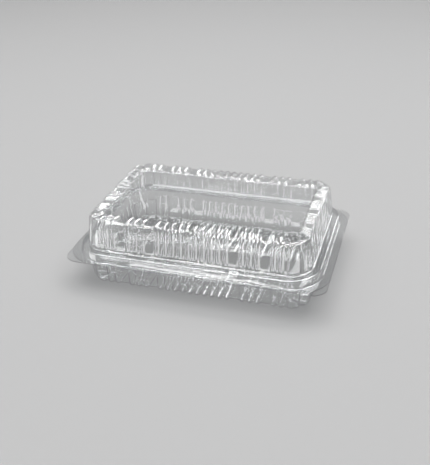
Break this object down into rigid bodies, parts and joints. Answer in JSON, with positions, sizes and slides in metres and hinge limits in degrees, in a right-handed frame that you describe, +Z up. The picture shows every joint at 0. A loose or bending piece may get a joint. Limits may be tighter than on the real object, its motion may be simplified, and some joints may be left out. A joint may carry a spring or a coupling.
{
  "type": "clear plastic clamshell pack",
  "caption": "Clear formed-sheet clamshell food pack: ribbed tray with flange and snap bead, ribbed lid with a flat window, folding shut on a living hinge along the back edge.",
  "frame": {"origin": "centre of the footprint on the plane the tray rests on", "axes": "+X along the long side, +Z up through the lid, +Y towards the hinge, opening edge towards -Y"},
  "size_m": [0.22, 0.146, 0.0595],
  "materials": {
    "clear_sheet": "clear glossy plastic sheet, slightly wavy from forming, one surface all over"
  },
  "bodies": {
    "base": {"base_tray": "clear_sheet", "living_hinge": "clear_sheet"},
    "lid": {"lid": "clear_sheet"}
  },
  "joints": [
    {"name": "lid_hinge", "type": "hinge", "parent": "base", "child": "lid", "pos_m": [0, 0.07245, 0.02515], "axis": [-1, 0, 0], "range_deg": [0, 155], "deforming": ["living_hinge"]}
  ]
}
